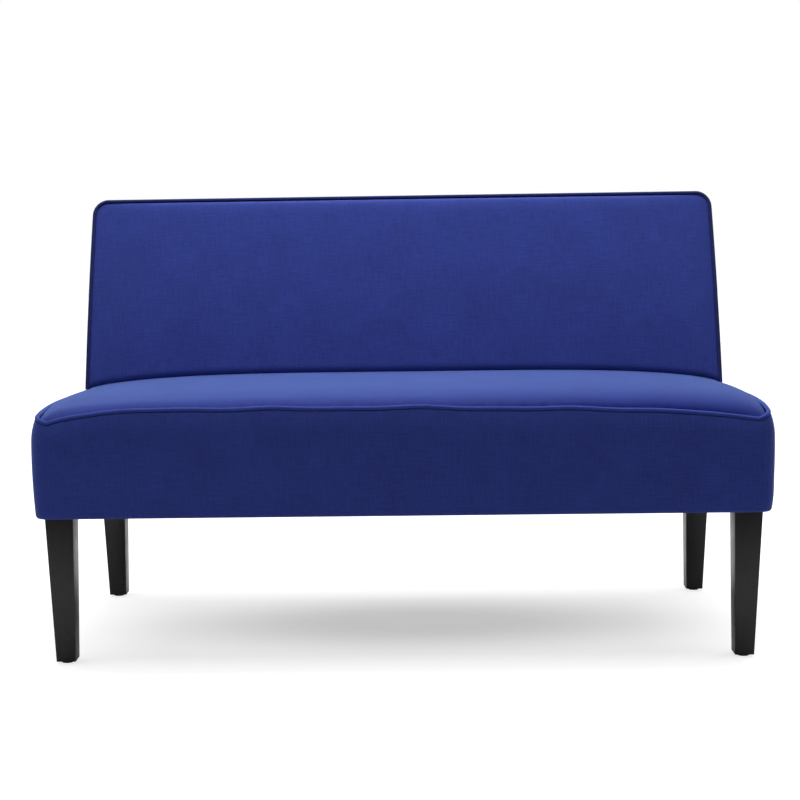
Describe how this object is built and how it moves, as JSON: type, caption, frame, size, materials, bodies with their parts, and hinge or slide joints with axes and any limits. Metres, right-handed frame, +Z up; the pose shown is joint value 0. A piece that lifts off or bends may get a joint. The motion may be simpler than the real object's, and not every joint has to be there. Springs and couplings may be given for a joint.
{
  "type": "loveseat",
  "caption": "Armless loveseat with a piped, crowned sprung seat, a raked padded back and tapered square legs.",
  "frame": {"origin": "on the floor, under the middle of the overall box", "axes": "+X along the width to the sitter's left when seated, as seen at the right of the picture; +Y from the front to the back; +Z up"},
  "size_m": [1.302, 0.7, 0.822],
  "materials": {
    "blue_fabric": "royal blue plain-weave upholstery fabric, matt",
    "blue_piping": "piping cord covered in the same blue fabric",
    "black_legs": "solid wood, satin black lacquer",
    "glides": "dark moulded nail-on glide",
    "frame_wood": "sawn pine, unfinished",
    "foam": "open-cell upholstery foam",
    "wadding": "polyester wadding",
    "burlap": "jute burlap",
    "webbing": "woven jute webbing",
    "card": "grey-brown tack strip card",
    "dust_cloth": "black spun cambric",
    "spring_steel": "drawn spring wire, lightly oiled",
    "zinc_steel": "zinc plated"
  },
  "bodies": {
    "root": {"front_rail": "frame_wood", "rear_rail": "frame_wood", "left_side_rail": "frame_wood", "right_side_rail": "frame_wood", "left_stretcher": "frame_wood", "right_stretcher": "frame_wood", "corner_block_front_left": "frame_wood", "corner_block_front_right": "frame_wood", "corner_block_rear_left": "frame_wood", "corner_block_rear_right": "frame_wood", "left_end_upright": "frame_wood", "right_end_upright": "frame_wood", "left_inner_upright": "frame_wood", "right_inner_upright": "frame_wood", "back_top_rail": "frame_wood", "back_lower_rail": "frame_wood", "leg_front_left": "black_legs", "leg_front_right": "black_legs", "leg_rear_left": "black_legs", "leg_rear_right": "black_legs", "glide_front_left": "glides", "glide_front_right": "glides", "glide_rear_left": "glides", "glide_rear_right": "glides", "leg_bolts": "zinc_steel", "leg_tee_nuts": "zinc_steel", "frame_screws": "zinc_steel", "block_screws": "zinc_steel", "spring_clips": "spring_steel", "spring_tie_wires": "spring_steel", "seat_burlap": "burlap", "seat_foam": "foam", "front_rail_padding": "wadding", "left_rail_padding": "wadding", "right_rail_padding": "wadding", "back_webbing": "webbing", "back_burlap": "burlap", "back_foam": "foam", "back_padding_left": "wadding", "back_padding_right": "wadding", "back_padding_top": "wadding", "back_tack_strips": "card", "seat_top_panel": "blue_fabric", "seat_border": "blue_fabric", "seat_welt": "blue_piping", "back_front_panel": "blue_fabric", "back_boxing": "blue_fabric", "back_welt": "blue_piping", "outside_back_panel": "blue_fabric", "dust_cover": "dust_cloth", "seat_spring_1": "spring_steel", "seat_spring_2": "spring_steel", "seat_spring_3": "spring_steel", "seat_spring_4": "spring_steel", "seat_spring_5": "spring_steel", "seat_spring_6": "spring_steel", "seat_spring_7": "spring_steel", "seat_spring_8": "spring_steel", "seat_spring_9": "spring_steel"}
  },
  "joints": []
}
